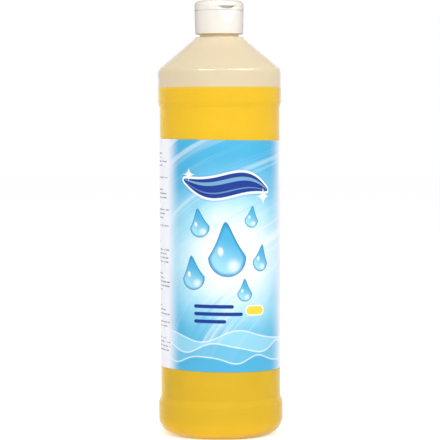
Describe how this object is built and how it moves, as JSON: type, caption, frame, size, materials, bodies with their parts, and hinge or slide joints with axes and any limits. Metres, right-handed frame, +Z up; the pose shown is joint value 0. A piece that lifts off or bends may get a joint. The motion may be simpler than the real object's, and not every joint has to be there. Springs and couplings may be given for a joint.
{
  "type": "dish soap bottle",
  "caption": "Round translucent blow-moulded bottle of yellow dish soap with a wrap label and a screw cap whose film-hinged lid flips open.",
  "frame": {"origin": "centre of the base's contact ring, on the plane that the bottle stands on", "axes": "+Z up along the bottle's axis; the label's front looks along -Y, +X is to its right"},
  "size_m": [0.0815, 0.0814, 0.2829],
  "materials": {
    "natural_plastic": "satin",
    "yellow_soap": "gloss",
    "label_film": "satin",
    "white_cap": "satin",
    "foam_seal": "matte"
  },
  "bodies": {
    "bottle": {"bottle": "natural_plastic", "bottle_neck": "natural_plastic", "neck_thread": "natural_plastic", "liquid": "yellow_soap", "label": "label_film"},
    "gasket": {"seal_ring": "foam_seal"},
    "closure": {"closure_base": "white_cap", "living_hinge": "white_cap"},
    "lid": {"flip_lid": "white_cap"}
  },
  "joints": [
    {"name": "cap_rise", "type": "slide", "parent": "bottle", "child": "gasket", "axis": [0, 0, 1], "range_m": [0, 0.00635]},
    {"name": "cap_turn", "type": "hinge", "parent": "gasket", "child": "closure", "pos_m": [0, 0, 0.268], "axis": [0, 0, 1], "range_deg": [0, 540]},
    {"name": "lid_flip", "type": "hinge", "parent": "closure", "child": "lid", "pos_m": [-0.00572, 0.01521, 0.27654], "axis": [-0.9361, -0.3518, 0], "range_deg": [0, 170], "deforming": ["living_hinge"]}
  ],
  "couplings": [
    {"joint": "cap_rise", "follows": "cap_turn", "m_per_rad": 0.0006737}
  ]
}
